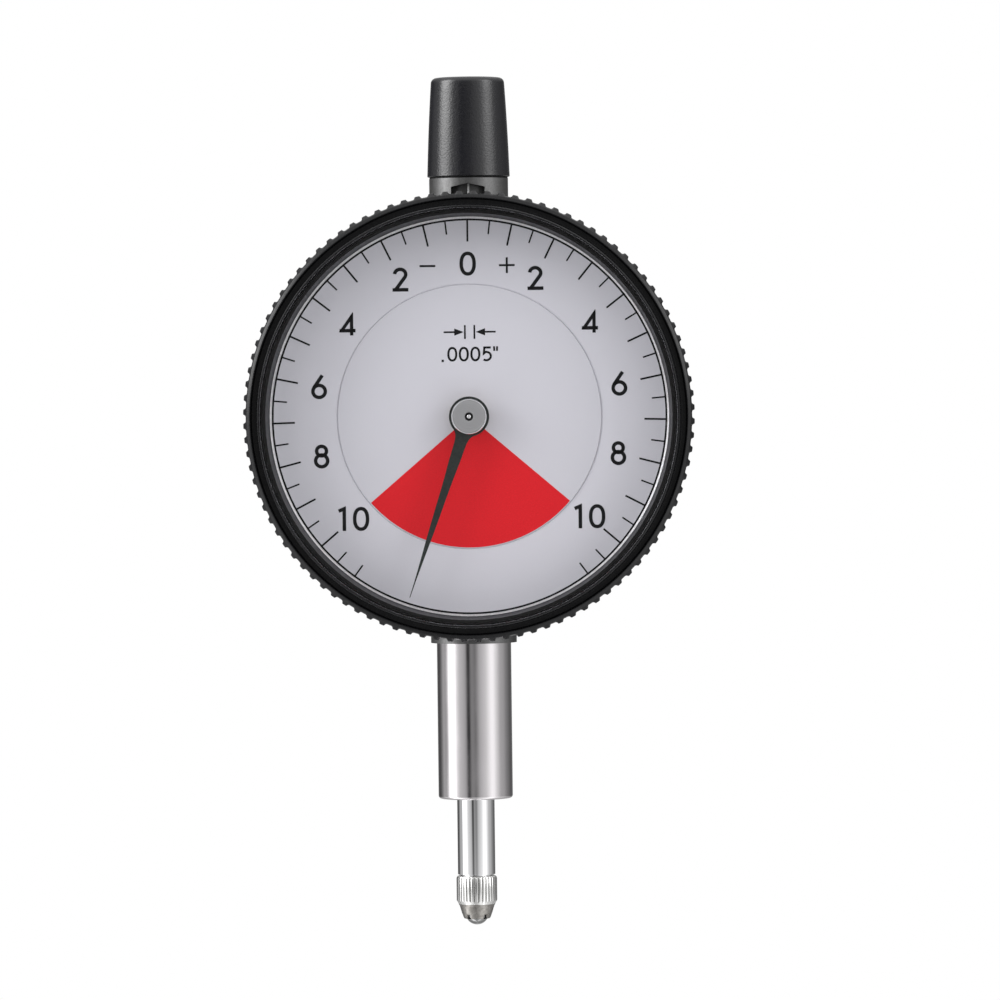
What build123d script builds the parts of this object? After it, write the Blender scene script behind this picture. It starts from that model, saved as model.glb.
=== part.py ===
from build123d import *
import math
import os

# Dial indicator of the one-revolution type. Millimetres. X is to the right, Y to the back and Z up.
# The origin is the middle of the stem's clamping length, on the spindle's axis.

# Driving dimensions
BEZEL_D = 57.0            # over the knurl
STEM_D = 9.525            # clamping stem, 3/8 inch
STEM_L = 20.0             # clamping length
SPINDLE_D = 4.8
SPINDLE_OUT = 9.9         # spindle seen below the stem, at rest
TRAVEL = 0.63             # measured travel
OVERTRAVEL = 2.9          # free travel after the measured travel
CASE_GAP = 2.0            # bezel radius less drum radius
CASE_WALL = 2.5
WALL_T = 1.4              # front wall of the case
PLATE_T = 1.0             # bridge plate
DIAL_T = 0.4
CRYSTAL_T = 1.5
COVER_T = 1.5
GASKET_T = 0.3
FOOT_D = 11.0
FOOT_DROP = 0.5           # foot below the bezel's edge
SLEEVE_D = 10.1
SLOT_W = 4.3
CAP_BASE_D = 10.56
CAP_TOP_D = 9.4
CAP_H = 12.9
CAP_LIFT = 1.9            # cap's edge above the bezel
TIP_D = 5.2               # contact point over its knurl
TIP_L = 6.35
BALL_D = 3.0
LUG_T = 6.35
LUG_R = 8.0
LUG_HOLE_D = 6.4
LUG_REACH = 8.0           # back face to the hole's axis
KNURL_TEETH = 100
KNURL_DEPTH = 0.33

# Gear train: modules and tooth counts
RACK_M = 0.2
RACK_PINION_N = 16
GEAR_M = 0.15
SECTOR_N = 201            # as a full wheel
CENTRE_N = 14
TAKEUP_N = 70
THINNING = 0.03           # taken off each flank for backlash

# Clearances
RUN = 0.03                # running fit, on the radius
GAP = 0.3                 # parts that pass each other
LEVEL = 0.4               # layers of the mechanism

# Spindle and guide sizes
R_STEM = STEM_D / 2
R_SPIGOT = R_STEM - 0.4
STEM_ROUND = 0.4
R_SPINDLE = SPINDLE_D / 2
R_ROD = 0.625 * R_SPINDLE
R_COLLAR = R_ROD + 1.0
R_BUSH = R_SPINDLE + 0.8
R_UPPER = R_ROD + 1.5
WIRE = 0.15
R_SPRING = R_ROD + 0.55

# Radii about the dial's axis
R_BEZEL = BEZEL_D / 2
R_DRUM = R_BEZEL - CASE_GAP
R_CAVITY = R_DRUM - CASE_WALL
R_NECK = R_DRUM - 0.9
R_BORE = R_BEZEL - 2.25
R_CRYSTAL = R_BORE - 0.15
R_SEEN = R_BORE - 1.15    # edge of the visible dial
R_LIP = R_BORE - 1.85
R_CENTRE_ARBOR = 0.5
R_RETAINER = 0.3          # wire that keeps the bezel on the neck

# Heights
STEM_TOP = STEM_L / 2
ZC = STEM_TOP + FOOT_DROP + R_BEZEL       # the dial's axis
FLOOR = ZC - R_CAVITY                     # lowest point of the cavity
ROOF = ZC + R_CAVITY
STEM_END = STEM_TOP + 3.5                 # stem's top, inside the foot
SEAT = ZC + R_DRUM + 0.5                  # flat that the sleeve stands on
CAP_Z = ZC + R_BEZEL + CAP_LIFT
CAP_TOP = CAP_Z + CAP_H
TIP_TOP = -STEM_TOP - SPINDLE_OUT
TIP_END = TIP_TOP - TIP_L
UPPER_END = ROOF - 1.0                    # upper bush, lower end

# Depths, from the spindle's axis forwards and backwards
BRIDGE_REAR = -(R_COLLAR + LEVEL)
BRIDGE_FRONT = BRIDGE_REAR - PLATE_T
RACK_REAR = BRIDGE_FRONT - GAP
RACK_W = 1.5
RACK_FRONT = RACK_REAR - RACK_W
WHEEL_T = 0.6
WHEEL_REAR = RACK_REAR - 0.8
SECTOR_T = 0.7
SECTOR_REAR = RACK_FRONT - LEVEL
SECTOR_FRONT = SECTOR_REAR - SECTOR_T
WALL_REAR = SECTOR_FRONT - GAP
CASE_FRONT = WALL_REAR - WALL_T
LIP_REAR = CASE_FRONT - GAP
LIP_FRONT = LIP_REAR - 0.4
DIAL_FRONT = LIP_FRONT - DIAL_T
HUB_REAR = DIAL_FRONT - 0.4
POINTER_REAR = HUB_REAR - 1.4
POINTER_T = 0.4
POINTER_FRONT = POINTER_REAR - POINTER_T
HUB_FRONT = POINTER_FRONT - 0.6
CRYSTAL_REAR = HUB_FRONT - 0.6
CRYSTAL_FRONT = CRYSTAL_REAR - CRYSTAL_T
RIDGE = CRYSTAL_FRONT - 0.8
DRUM_FRONT = WALL_REAR + 0.6
BEZEL_REAR = DRUM_FRONT - LEVEL
GROOVE_Y = (BEZEL_REAR + CASE_FRONT) / 2
CASE_REAR = R_COLLAR + 3.3
COVER_FRONT = CASE_REAR + GASKET_T
BACK = COVER_FRONT + COVER_T

# Gear radii and places, in X and Z
R_RACK_PINION = RACK_M * RACK_PINION_N / 2
R_SECTOR = GEAR_M * SECTOR_N / 2
R_CENTRE = GEAR_M * CENTRE_N / 2
R_TAKEUP = GEAR_M * TAKEUP_N / 2
RACK_X = -1.9
SWEEP = TRAVEL / R_RACK_PINION                                # sector's swing
CENTRES = R_SECTOR + R_CENTRE
SECTOR_X = RACK_X - R_RACK_PINION
SECTOR_Z = ZC - math.sqrt(CENTRES**2 - SECTOR_X**2)
MESH = math.atan2(ZC - SECTOR_Z, -SECTOR_X)                   # sector's arbor to the centre
TAKEUP_AT = math.radians(45)
TAKEUP_X = (R_TAKEUP + R_CENTRE) * math.cos(TAKEUP_AT)
TAKEUP_Z = ZC + (R_TAKEUP + R_CENTRE) * math.sin(TAKEUP_AT)
PILLARS = [(-11.0, ZC - 6.0), (-9.0, ZC + 9.0), (12.0, ZC + 8.0)]
R_PILLAR = 1.5
R_COLLET = 0.9            # take-up wheel's collet
HAIR_R = 2.8              # hairspring's outer turn
HAIR_TURNS = 3.5

# Carriage, collar and guide block
FINGER_TOP = SECTOR_Z + 4.74
CARRIAGE_LOW = SECTOR_Z - 3.3
SHOULDER = SECTOR_Z - 4.3                 # spindle narrows to its rod here
COLLAR_H = 3.0
COLLAR_TOP = FINGER_TOP + COLLAR_H
PIN_Z = COLLAR_TOP - 1.5
R_PIN = 0.5
ROD_X = 4.6
ROD_Y = (RACK_REAR + RACK_FRONT) / 2
R_GUIDE = 0.7
BLOCK_X = 7.5
BLOCK_W = 3.5
BLOCK_LOW = SECTOR_Z + 0.74
BLOCK_TOP = PIN_Z + OVERTRAVEL + TRAVEL + 3.0

# Pointer and hub
R_HUB = 2.05
R_EYE = 2.45
POINTER_LEN = R_SEEN - 1.0
POINTER_REST = math.radians(-161.2)       # from the dial's zero, clockwise positive

# Cover screws
SCREW_PITCH_R = R_CAVITY - 1.2
R_SCREW_POST = 2.4
R_SCREW = 0.8
R_SCREW_HEAD = 1.8


def rod_z(radius, low, high, x=0, y=0):
    return Pos(x, y, (low + high) / 2) * Cylinder(radius, high - low)


def rod_y(radius, front, rear, x=0, z=ZC):
    return Pos(x, (front + rear) / 2, z) * Rot(X=90) * Cylinder(radius, rear - front)


def rod_x(radius, left, right, y, z):
    return Pos((left + right) / 2, y, z) * Rot(Y=90) * Cylinder(radius, right - left)


def block(x, y, z):
    """A box from three pairs of limits."""
    centre = [(pair[0] + pair[1]) / 2 for pair in (x, y, z)]
    return Pos(*centre) * Box(x[1] - x[0], y[1] - y[0], z[1] - z[0])


def turned_y(points, z=ZC):
    """A solid turned about the line along Y at height z, from points of radius and depth."""
    face = make_face(Polyline(*points, close=True))
    return Pos(0, 0, z) * revolve(face, Axis.Y)


def turned_z(points):
    """A solid turned about the spindle's axis, from points of radius and height."""
    face = Plane.XZ * make_face(Polyline(*points, close=True))
    return revolve(face, Axis.Z)


def plate(face, front, rear, x=0, z=ZC):
    """A flat piece from a face drawn in X and Z about the point x, z."""
    return Pos(x, rear, z) * extrude(Plane.XZ * face, amount=rear - front)


def bar(start, end, width):
    """A flat bar with round ends, drawn from start to end."""
    length = math.dist(start, end)
    middle = [(a + b) / 2 for a, b in zip(start, end)]
    angle = math.degrees(math.atan2(end[1] - start[1], end[0] - start[0]))
    straight = Pos(*middle) * Rot(Z=angle) * Rectangle(length, width)
    return straight + Pos(*start) * Circle(width / 2) + Pos(*end) * Circle(width / 2)


def polar(radius, angle):
    return (radius * math.cos(angle), radius * math.sin(angle))


def involute(angle):
    return math.tan(angle) - angle


def tooth(module, count, at):
    """The outline of one involute tooth that points to the angle at."""
    pitch_r = module * count / 2
    base_r = pitch_r * math.cos(math.radians(20))
    root_r, tip_r = pitch_r - 1.25 * module, pitch_r + 0.85 * module
    flank = []
    for radius in (root_r, max(base_r, root_r + 0.01), pitch_r, tip_r):
        pressure = math.acos(min(1.0, base_r / radius))
        half = math.pi / (2 * count) - THINNING / pitch_r
        flank.append((radius, half + involute(math.radians(20)) - involute(pressure)))
    right = [polar(radius, at - half) for radius, half in flank]
    left = [polar(radius, at + half) for radius, half in reversed(flank)]
    return right + left


def gear_face(module, count, at):
    """A whole gear's outline, with a tooth that points to the angle at."""
    points = []
    for k in range(count):
        points += tooth(module, count, at + 2 * math.pi * k / count)
    return make_face(Polyline(*points, close=True))


def meshing_angle(angle_to_other, tooth_at, radius, other_radius, other_count):
    """Where the other gear has a tooth, so that it fits a gear with a tooth at tooth_at."""
    offset = (tooth_at - angle_to_other) * radius / other_radius
    return angle_to_other + math.pi - offset + math.pi / other_count


# Case

def case_shell():
    drum = turned_y([
        (0, CASE_FRONT), (R_NECK, CASE_FRONT), (R_NECK, DRUM_FRONT), (R_DRUM - 0.4, DRUM_FRONT),
        (R_DRUM, DRUM_FRONT + 0.4), (R_DRUM, CASE_REAR - 0.5), (R_DRUM - 0.5, CASE_REAR), (0, CASE_REAR),
    ])
    drum += rod_z(FOOT_D / 2, STEM_TOP, ZC - R_CAVITY - 0.5)
    drum += rod_z(SLEEVE_D / 2 + 0.4, ROOF + 0.5, SEAT)
    drum -= rod_y(R_BEZEL, CASE_REAR, BACK)      # the bosses stop at the rear face
    drum -= rod_y(R_CAVITY, WALL_REAR, CASE_REAR)
    for x, z in screw_places():
        drum += rod_y(R_SCREW_POST, WALL_REAR, CASE_REAR, x, z)
        drum -= rod_y(R_SCREW, CASE_REAR - 5.0, CASE_REAR, x, z)
    drum -= rod_z(R_SPIGOT, STEM_TOP, STEM_END)
    drum -= rod_z(R_BUSH - 0.2, STEM_END, FLOOR + 3.0)
    drum -= rod_z(R_UPPER + 0.7, UPPER_END, SEAT)
    drum -= rod_y(1.5, CASE_FRONT, WALL_REAR)
    drum -= rod_y(0.4 + RUN, WALL_REAR - 0.9, WALL_REAR, SECTOR_X, SECTOR_Z)
    drum -= rod_y(0.4 + RUN, WALL_REAR - 0.9, WALL_REAR, TAKEUP_X, TAKEUP_Z)
    drum -= Pos(0, GROOVE_Y, ZC) * Rot(X=90) * Torus(R_NECK, R_RETAINER)
    drum -= rod_z(R_GUIDE, guide_foot(), FLOOR + 4.0, ROD_X, ROD_Y)
    return drum


def screw_places():
    reach = SCREW_PITCH_R * math.sqrt(0.5)
    return [(sx * reach, ZC + sz * reach) for sx in (-1, 1) for sz in (-1, 1)]


def guide_foot():
    """The lower end of the guide rod, in the wall of the case."""
    return ZC - math.sqrt(R_CAVITY**2 - ROD_X**2) - 1.2


def bezel_retainer():
    """An open wire ring that keeps the bezel on the case's neck."""
    wire = Pos(R_NECK, GROOVE_Y) * Circle(R_RETAINER)
    return Pos(0, 0, ZC) * Rot(Y=100) * revolve(wire, Axis.Y, revolution_arc=340)


def stem():
    """The clamping stem, with a thinner spigot that is pressed into the foot of the case."""
    tube = rod_z(R_STEM, -STEM_TOP, STEM_TOP)
    tube = fillet(tube.edges().group_by(Axis.Z)[0], STEM_ROUND)
    tube += rod_z(R_SPIGOT, STEM_TOP, STEM_END)
    return tube - rod_z(R_BUSH, -STEM_TOP, STEM_END)


def bush(low, high, outer, inner):
    return rod_z(outer, low, high) - rod_z(inner + RUN, low, high)


def top_sleeve():
    sleeve = turned_z([
        (R_UPPER, UPPER_END), (R_UPPER + 0.7, UPPER_END), (R_UPPER + 0.7, SEAT), (SLEEVE_D / 2, SEAT),
        (SLEEVE_D / 2, CAP_Z), (cap_inner(), CAP_Z), (cap_inner(), CAP_Z + 6.0), (R_UPPER, CAP_Z + 6.0),
    ])
    window = (Rectangle(SLOT_W, 2.0) + Pos(0, 1.0) * Polygon(
        (-SLOT_W / 2, 0), (SLOT_W / 2, 0), (0, 0.45), align=None))
    sleeve -= plate(window, -SLEEVE_D, 0, 0, SEAT + 1.25)
    return sleeve


def cap_inner():
    return R_UPPER + 1.1


def dust_cap():
    base, top, corner = CAP_BASE_D / 2, CAP_TOP_D / 2, 0.7
    side = ThreePointArc(
        (base, CAP_Z), ((base + top) / 2 + 0.06, CAP_Z + CAP_H / 2), (top, CAP_TOP - corner))
    edge = RadiusArc(side @ 1, (top - corner, CAP_TOP), -corner)
    inner = Polyline(
        edge @ 1, (0, CAP_TOP), (0, CAP_TOP - 1.2), (cap_inner() - 0.3, CAP_TOP - 1.2),
        (cap_inner(), CAP_TOP - 1.6), (cap_inner(), CAP_Z), (base, CAP_Z))
    return revolve(Plane.XZ * make_face([side, edge, inner]), Axis.Z)


def back_cover():
    plate_y = turned_y([
        (0, COVER_FRONT), (R_DRUM - 0.3, COVER_FRONT), (R_DRUM - 0.3, BACK - 0.4), (R_DRUM - 0.7, BACK),
        (0, BACK),
    ])
    hole_y = BACK + LUG_REACH
    lug = rod_x(LUG_R, -LUG_T / 2, LUG_T / 2, hole_y, ZC)
    lug += block((-LUG_T / 2, LUG_T / 2), (BACK - 0.3, hole_y), (ZC - LUG_R, ZC + LUG_R))
    lug = chamfer(lug.edges().filter_by(GeomType.CIRCLE), 0.4)
    lug -= rod_x(LUG_HOLE_D / 2, -LUG_T, LUG_T, hole_y, ZC)
    cover = plate_y + lug
    for x, z in screw_places():
        cover -= rod_y(R_SCREW + 0.1, COVER_FRONT, BACK, x, z)
    return cover


def cover_gasket():
    ring = rod_y(R_DRUM - 0.5, CASE_REAR, COVER_FRONT) - rod_y(R_CAVITY, CASE_REAR, COVER_FRONT)
    for x, z in screw_places():
        ring += rod_y(R_SCREW_POST, CASE_REAR, COVER_FRONT, x, z)
        ring -= rod_y(R_SCREW + 0.1, CASE_REAR, COVER_FRONT, x, z)
    return ring


def slotted_screw(x, z, seat, shank, radius, head_r, head_h):
    """A cheese-head screw whose head stands on the depth seat and points to the back."""
    head = rod_y(head_r, seat, seat + head_h, x, z)
    head = chamfer(head.edges().group_by(Axis.Y)[-1], 0.15)
    head -= block((x - head_r, x + head_r), (seat + 0.55 * head_h, seat + head_h), (z - 0.2, z + 0.2))
    return head + rod_y(radius, seat - shank, seat, x, z)


def back_screws():
    shank = BACK - CASE_REAR + 4.0
    return [slotted_screw(x, z, BACK, shank, R_SCREW, R_SCREW_HEAD, 0.9) for x, z in screw_places()]


# Movement

def arbor_places():
    return [(0, ZC), (SECTOR_X, SECTOR_Z), (TAKEUP_X, TAKEUP_Z)]


def bridge_plate():
    shape = bar((SECTOR_X, SECTOR_Z - ZC), (0, 0), 4.4)
    shape += bar((0, 0), (TAKEUP_X, TAKEUP_Z - ZC), 4.4)
    for x, z in PILLARS:
        shape += bar((0, 0), (x, z - ZC), 3.6)
        shape += Pos(x, z - ZC) * Circle(R_PILLAR + 0.6)
    bridge = plate(shape, BRIDGE_FRONT, BRIDGE_REAR)
    bridge -= rod_y(1.2, BRIDGE_FRONT, BRIDGE_REAR)
    for x, z in arbor_places()[1:]:
        bridge -= rod_y(0.4 + RUN, BRIDGE_FRONT, BRIDGE_REAR, x, z)
    for x, z in PILLARS:
        bridge -= rod_y(0.65, BRIDGE_FRONT, BRIDGE_REAR, x, z)
    x, z = stud_place()
    return bridge - rod_y(0.4, BRIDGE_FRONT, BRIDGE_REAR, x, z)


def pillars():
    posts = []
    for x, z in PILLARS:
        post = rod_y(R_PILLAR, WALL_REAR, BRIDGE_FRONT, x, z)
        posts.append(post - rod_y(0.6, BRIDGE_FRONT - 2.0, BRIDGE_FRONT, x, z))
    return posts


def bridge_screws():
    return [slotted_screw(x, z, BRIDGE_REAR, PLATE_T + 1.5, 0.6, 1.2, 0.7) for x, z in PILLARS]


def centre_bush(outer, front, rear):
    return rod_y(outer, front, rear) - rod_y(R_CENTRE_ARBOR + RUN, front, rear)


def stud_place():
    """The hairspring's stud, between the take-up wheel's arbor and the upper left pillar."""
    return polar_from(TAKEUP_X, TAKEUP_Z, HAIR_R + 0.55, math.radians(150))


def polar_from(x, z, radius, angle):
    return (x + radius * math.cos(angle), z + radius * math.sin(angle))


def hairspring_stud():
    x, z = stud_place()
    return rod_y(0.4, RACK_REAR - 0.55, BRIDGE_REAR, x, z)


def hairspring():
    """A flat spiral from the take-up arbor out to the stud."""
    inner, half = R_COLLET + 0.03, 0.04
    steps = int(HAIR_TURNS * 12)
    end = math.radians(150)
    turns = [(k / steps, end - 2 * math.pi * HAIR_TURNS * (1 - k / steps)) for k in range(steps + 1)]
    radii = [(inner + (HAIR_R - inner) * share, angle) for share, angle in turns]
    outside = Spline(*[polar(radius + half, angle) for radius, angle in radii])
    inside = Spline(*[polar(radius - half, angle) for radius, angle in radii])
    ends = [Line(outside @ 0, inside @ 0), Line(outside @ 1, inside @ 1)]
    face = make_face([outside, inside] + ends)
    return plate(face, WHEEL_REAR + 0.25, WHEEL_REAR + 0.65, TAKEUP_X, TAKEUP_Z)


def guide_block():
    right = BLOCK_X + BLOCK_W
    body = block((BLOCK_X, right), (WALL_REAR, 2.5), (BLOCK_LOW, BLOCK_TOP))
    slot_low, slot_top = PIN_Z - 1.2, PIN_Z + TRAVEL + OVERTRAVEL + 1.2
    slot = R_PIN + 0.05
    body -= block((BLOCK_X, BLOCK_X + 2.0), (-slot, slot), (slot_low, slot_top))
    arm_low = FINGER_TOP + TRAVEL + 1.2
    arm = block((ROD_X - 1.4, BLOCK_X), (RACK_FRONT, RACK_REAR), (arm_low, arm_low + 2.0))
    return body + arm - rod_z(R_GUIDE, arm_low, arm_low + 2.0, ROD_X, ROD_Y)


def guide_rod():
    return rod_z(R_GUIDE, guide_foot(), FINGER_TOP + TRAVEL + 3.2, ROD_X, ROD_Y)


# Spindle and its carriage

def rack_carriage():
    """Teeth towards the rack pinion, a bore for the guide rod and a finger under the spindle's collar."""
    root = RACK_X + 1.25 * RACK_M
    right = ROD_X + R_GUIDE + 1.1
    body = block((root, right), (RACK_FRONT, RACK_REAR), (CARRIAGE_LOW, FINGER_TOP))
    finger_low = FINGER_TOP - 2.2
    body += block((R_ROD + 0.2, R_ROD + 2.4), (RACK_REAR - 0.1, 1.2), (finger_low, FINGER_TOP))
    body -= rod_z(R_GUIDE + RUN, CARRIAGE_LOW, FINGER_TOP, ROD_X, ROD_Y)
    for k in range(-5, 5):
        body += plate(rack_tooth(), RACK_FRONT, RACK_REAR, root, SECTOR_Z + (k + 0.5) * math.pi * RACK_M)
    return body


def rack_tooth():
    """One tooth, drawn from its root line towards the left."""
    slope = math.tan(math.radians(20))
    half = math.pi * RACK_M / 4 - THINNING
    root, tip = half + 1.25 * RACK_M * slope, half - 0.85 * RACK_M * slope
    reach = 2.1 * RACK_M
    return make_face(Polyline((0.05, -root), (0, -root), (-reach, -tip), (-reach, tip), (0, root),
                              (0.05, root), close=True))


def spindle():
    top = CAP_TOP - 1.2 - TRAVEL - OVERTRAVEL - 1.2
    rod = turned_z([
        (0, TIP_TOP), (R_SPINDLE - 0.15, TIP_TOP), (R_SPINDLE, TIP_TOP + 0.15), (R_SPINDLE, SHOULDER),
        (R_ROD, SHOULDER + 0.4), (R_ROD, top - 0.3), (R_ROD - 0.3, top), (0, top),
    ])
    return rod - rod_z(1.2, TIP_TOP, TIP_TOP + 5.0)


def spindle_collar():
    collar = rod_z(R_COLLAR, FINGER_TOP + 0.02, COLLAR_TOP) - rod_z(R_ROD, FINGER_TOP, COLLAR_TOP)
    return collar - rod_x(R_PIN, 0, R_COLLAR + 1, 0, PIN_Z)


def guide_pin():
    pin = rod_x(R_PIN, R_ROD, BLOCK_X + 1.3, 0, PIN_Z)
    return pin - rod_z(R_ROD, PIN_Z - 1, PIN_Z + 1)


def spindle_spring():
    """A compression spring round the rod, between the collar and the upper bush."""
    low, high, turns = COLLAR_TOP + WIRE, UPPER_END - WIRE, 13
    path = Helix(pitch=(high - low) / turns, height=high - low, radius=R_SPRING)
    section = Plane(origin=path @ 0, z_dir=path % 0) * Circle(WIRE)
    return Pos(0, 0, low) * sweep(section, path, is_frenet=True)


def contact_body():
    """A screwed-in contact point with a straight knurl, stepped and tapered towards the ball."""
    knurl_end = TIP_TOP - 0.51 * TIP_L
    r, tip_r = TIP_D / 2, 0.5 * BALL_D + 0.1
    body = turned_z([
        (0, TIP_TOP + 4.0), (1.2, TIP_TOP + 4.0), (1.2, TIP_TOP), (r - 0.3, TIP_TOP),
        (r, TIP_TOP - 0.3), (r, knurl_end), (r - 0.3, knurl_end - 0.3), (r - 0.5, knurl_end - 1.0),
        (r - 0.75, knurl_end - 1.75), (tip_r + 0.1, knurl_end - 2.1), (tip_r - 0.1, TIP_END + 0.7),
        (0, TIP_END + 0.7),
    ])
    groove = Pos(r, 0, (TIP_TOP + knurl_end) / 2) * Rot(Z=45) * Box(0.22, 0.22, TIP_TOP - knurl_end + 1.0)
    for k in range(28):
        body -= Rot(Z=360 / 28 * k) * groove
    return body - Pos(0, 0, TIP_END + BALL_D / 2) * Sphere(BALL_D / 2)


def contact_ball():
    return Pos(0, 0, TIP_END + BALL_D / 2) * Sphere(BALL_D / 2)


# Gears and pointer

def sector_tooth_angle():
    return meshing_angle(MESH + math.pi, centre_tooth_angle(), R_CENTRE, R_SECTOR, SECTOR_N)


def centre_tooth_angle():
    """The centre pinion has a gap towards the sector's arbor."""
    return MESH + math.pi + math.pi / CENTRE_N


def sector_gear():
    """Only the teeth that pass the centre pinion, on a web with a hub."""
    pitch = 2 * math.pi / SECTOR_N
    before, after = 2, math.ceil(SWEEP / pitch) + 2
    root_r = R_SECTOR - 1.25 * GEAR_M
    points = []
    for k in range(-after, before + 1):
        points += tooth(GEAR_M, SECTOR_N, sector_tooth_angle() + k * pitch)
    first, last = MESH - (after + 1) * pitch, MESH + (before + 1) * pitch
    inner = root_r - 1.8
    points += [polar(root_r, last), polar(inner, last), polar(inner, first), polar(root_r, first)]
    rim = make_face(Polyline(*points, close=True))
    spoke_end = polar(inner + 0.6, (first + last) / 2)
    web = bar((0, 0), spoke_end, 2.4) + Circle(2.0)
    web += bar((0, 0), polar(inner + 0.6, last - 0.06), 1.4) + bar((0, 0), polar(inner + 0.6, first + 0.06), 1.4)
    face = rim + web - Circle(0.6)
    return plate(face, SECTOR_FRONT, SECTOR_REAR, SECTOR_X, SECTOR_Z)


def sector_arbor():
    """Pivots at both ends, a seat for the sector and the pinion that meets the rack."""
    x, z = SECTOR_X, SECTOR_Z
    pinion = plate(gear_face(RACK_M, RACK_PINION_N, 0), RACK_FRONT - 0.1, RACK_REAR, x, z)
    seat = rod_y(0.6, SECTOR_FRONT - 0.15, RACK_FRONT, x, z)
    front = rod_y(0.4, WALL_REAR - 0.8, SECTOR_FRONT, x, z)
    rear = rod_y(0.4, RACK_REAR, BRIDGE_REAR - 0.1, x, z)
    return pinion + seat + front + rear


def centre_pinion():
    """The arbor through the dial, with leaves that meet the sector and the take-up wheel."""
    leaves = plate(gear_face(GEAR_M, CENTRE_N, centre_tooth_angle()), SECTOR_FRONT - 0.1, WHEEL_REAR + 0.2)
    arbor = rod_y(R_CENTRE_ARBOR, POINTER_FRONT, BRIDGE_REAR - 0.05)
    return leaves + arbor


def takeup_wheel():
    at = meshing_angle(TAKEUP_AT, centre_tooth_angle(), R_CENTRE, R_TAKEUP, TAKEUP_N)
    face = gear_face(GEAR_M, TAKEUP_N, at) - Circle(R_COLLET)
    for k in range(4):
        face -= Rot(Z=90 * k) * Pos(3.0, 0) * Circle(1.1)
    return plate(face, WHEEL_REAR - WHEEL_T, WHEEL_REAR, TAKEUP_X, TAKEUP_Z)


def takeup_arbor():
    x, z = TAKEUP_X, TAKEUP_Z
    collet = rod_y(R_COLLET, WHEEL_REAR - WHEEL_T - 0.3, WHEEL_REAR + 0.65, x, z)
    return collet + rod_y(0.4, WALL_REAR - 0.8, BRIDGE_REAR - 0.1, x, z)


def pointer_face():
    """A long tapering hand with an eye, drawn straight up from its pivot."""
    root, shoulder, waist, neck = 1.05, 0.85, 0.62, 0.3
    right = [(root, 3.0), (shoulder, 5.0), (waist, 11.0), (neck, 16.5), (0.1, 20.0), (0.08, POINTER_LEN)]
    scale = POINTER_LEN / 23.9
    right = [(x, y if y == POINTER_LEN else y * scale) for x, y in right]
    left = [(-x, y) for x, y in reversed(right)]
    flare = make_face(Polyline((2.0, 1.2), (1.3, 2.4), *right, *left, (-1.3, 2.4), (-2.0, 1.2), close=True))
    return Circle(R_EYE) + flare - Circle(R_CENTRE_ARBOR)


def pointer():
    turn = Rot(Z=-math.degrees(POINTER_REST))
    return plate(turn * pointer_face(), POINTER_FRONT, POINTER_REAR)


def pointer_hub():
    return rod_y(1.6, POINTER_REAR, HUB_REAR) - rod_y(R_CENTRE_ARBOR, POINTER_REAR, HUB_REAR)


def hub_disc():
    """The turned disc in front of the pointer, with a small dished centre."""
    disc = turned_y([
        (0, POINTER_FRONT), (R_HUB, POINTER_FRONT), (R_HUB, HUB_FRONT + 0.15), (R_HUB - 0.15, HUB_FRONT),
        (0.6, HUB_FRONT), (0.45, HUB_FRONT + 0.2), (0, HUB_FRONT + 0.2),
    ])
    return disc


# Bezel and dial

def bezel_ring():
    """Turned ring with a knurled band, a deep groove and a raised ridge round the crystal."""
    valley = R_BEZEL - KNURL_DEPTH
    face = make_face(Polyline(
        (R_NECK + 0.05, BEZEL_REAR), (valley - 0.3, BEZEL_REAR), (R_BEZEL, BEZEL_REAR - 0.55),
        (R_BEZEL, RIDGE + 2.5), (valley - 0.2, RIDGE + 1.8), (R_BEZEL - 0.98, RIDGE + 1.45),
        (R_BEZEL - 1.05, RIDGE + 2.2), (R_BEZEL - 1.55, RIDGE + 2.2), (R_BEZEL - 1.66, RIDGE + 0.25),
        (R_BEZEL - 1.85, RIDGE), (R_BEZEL - 2.1, RIDGE),
        (R_BORE, RIDGE + 0.2), (R_BORE, LIP_FRONT), (R_LIP, LIP_FRONT), (R_LIP, LIP_REAR),
        (R_NECK + 0.05, LIP_REAR), close=True,
    ))
    ring = Pos(0, 0, ZC) * revolve(face, Axis.Y)
    ring &= plate(knurl_face(), RIDGE - 1.0, BEZEL_REAR + 1.0)
    return ring - Pos(0, GROOVE_Y, ZC) * Rot(X=90) * Torus(R_NECK, R_RETAINER + 0.06)


def knurl_face():
    """The outline of the straight knurl, with flat crests and flat valleys."""
    valley, pitch = R_BEZEL - KNURL_DEPTH, 2 * math.pi / KNURL_TEETH
    crest, foot = 0.17 * pitch, 0.30 * pitch
    points = []
    for k in range(KNURL_TEETH):
        at = (k + 0.5) * pitch
        points += [polar(valley, at - foot), polar(R_BEZEL, at - crest)]
        points += [polar(R_BEZEL, at + crest), polar(valley, at + foot)]
    return make_face(Polyline(*points, close=True))


def dial_plate():
    plate_ring = rod_y(R_BORE - 0.1, DIAL_FRONT, LIP_FRONT)
    return plate_ring - rod_y(1.2, DIAL_FRONT, LIP_FRONT)


def inner_ring():
    """The sloping ring between the dial and the crystal."""
    return turned_y([
        (R_SEEN + 0.2, DIAL_FRONT), (R_BORE, DIAL_FRONT), (R_BORE, CRYSTAL_REAR), (R_SEEN + 0.75, CRYSTAL_REAR),
        (R_SEEN + 0.35, DIAL_FRONT - 0.5), (R_SEEN, DIAL_FRONT - 0.35), (R_SEEN, DIAL_FRONT - 0.1),
    ])


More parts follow.
